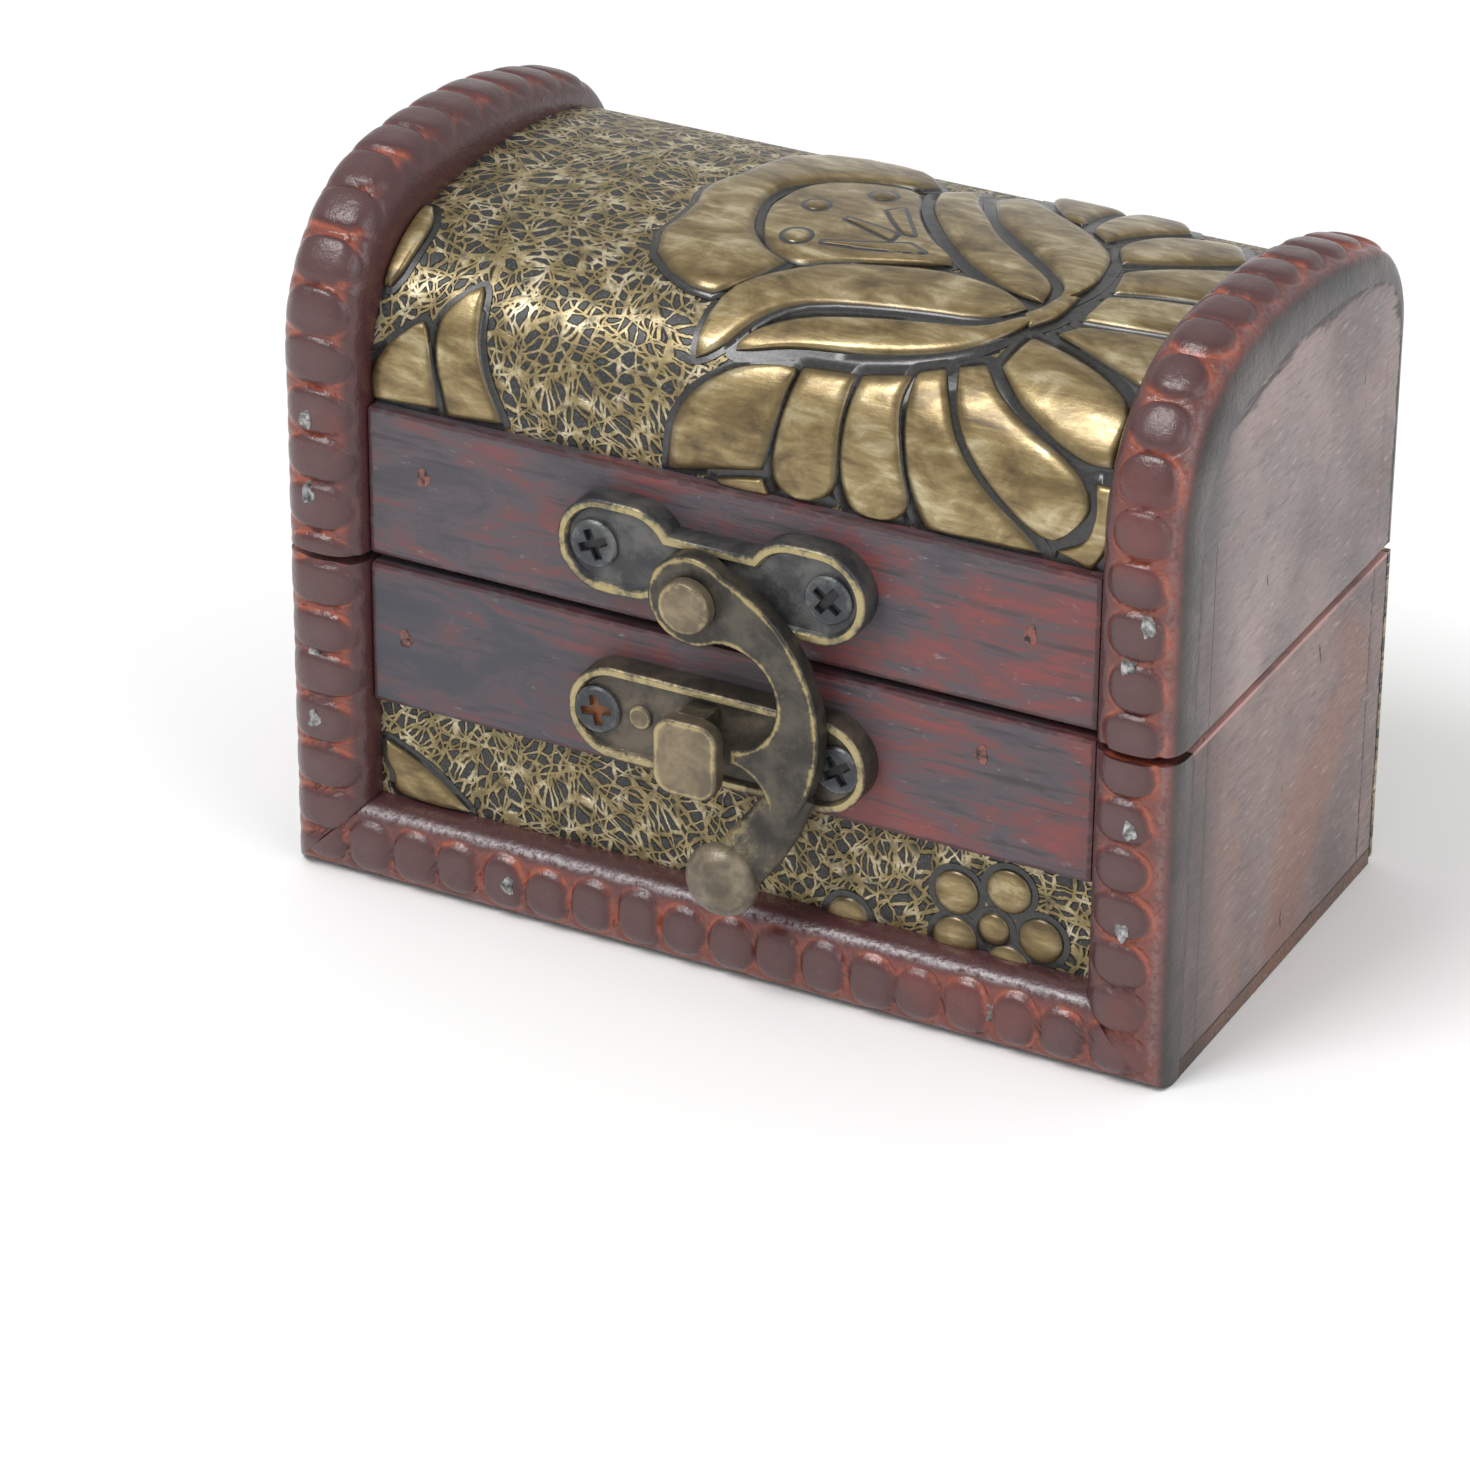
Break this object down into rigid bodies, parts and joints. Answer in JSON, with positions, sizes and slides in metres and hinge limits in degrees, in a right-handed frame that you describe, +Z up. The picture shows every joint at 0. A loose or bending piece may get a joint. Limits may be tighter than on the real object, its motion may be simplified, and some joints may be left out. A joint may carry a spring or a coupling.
{
  "type": "treasure chest box",
  "caption": "Small wooden treasure chest box: bowed hinged lid, embossed gold leathercloth panels, carved bead mouldings along the edges and a bronze swing-arm hasp on the front.",
  "frame": {"origin": "on the underside, midway between the two ends and midway between the front moulding's crest and the leathercloth on the back", "axes": "+X to the right along the width as seen from the front, +Y from the hasp's side to the back, +Z up"},
  "size_m": [0.08, 0.0515, 0.0624],
  "materials": {
    "stained_board": "satin stain",
    "stained_strip": "satin stain, worn",
    "carved_trim": "satin stain, worn",
    "embossed_cloth": "embossed, gold rubbed over charcoal",
    "antique_bronze": "antiqued",
    "hinge_brass": "dull",
    "nail_steel": "bare",
    "dark_steel": "blackened"
  },
  "bodies": {
    "base": {"base_back_board": "stained_board", "base_back_leather": "embossed_cloth", "base_bottom_panel": "stained_board", "base_bottom_trim": "carved_trim", "base_front_board": "stained_board", "base_front_leather": "embossed_cloth", "base_front_strip": "stained_strip", "base_left_post_trim": "carved_trim", "base_left_side_panel": "stained_board", "base_right_post_trim": "carved_trim", "base_right_side_panel": "stained_board", "base_strip_brads": "nail_steel", "base_trim_brads": "nail_steel", "hasp_catch_plate": "antique_bronze", "hasp_lower_screws": "dark_steel", "hinge_base_nails": "hinge_brass", "left_hinge_base_leaf": "hinge_brass", "left_hinge_pin": "hinge_brass", "right_hinge_base_leaf": "hinge_brass", "right_hinge_pin": "hinge_brass"},
    "lid": {"hasp_pivot_rivet": "antique_bronze", "hasp_upper_plate": "antique_bronze", "hasp_upper_screws": "dark_steel", "hinge_lid_nails": "hinge_brass", "left_hinge_lid_leaf": "hinge_brass", "lid_back_board": "stained_board", "lid_curved_top": "stained_board", "lid_front_board": "stained_board", "lid_front_strip": "stained_strip", "lid_leather_cover": "embossed_cloth", "lid_left_arch_trim": "carved_trim", "lid_left_side_panel": "stained_board", "lid_right_arch_trim": "carved_trim", "lid_right_side_panel": "stained_board", "lid_strip_brads": "nail_steel", "lid_trim_brads": "nail_steel", "right_hinge_lid_leaf": "hinge_brass"},
    "hasp_arm": {"hasp_swing_arm": "antique_bronze"}
  },
  "joints": [
    {"name": "lid_hinge", "type": "hinge", "parent": "base", "child": "lid", "pos_m": [0, 0.02315, 0.0298], "axis": [-1, 0, 0], "range_deg": [0, 110]},
    {"name": "hasp_swing", "type": "hinge", "parent": "lid", "child": "hasp_arm", "pos_m": [-0.0008, -0.0232, 0.0352], "axis": [0, -1, 0], "range_deg": [-14, 150]}
  ]
}
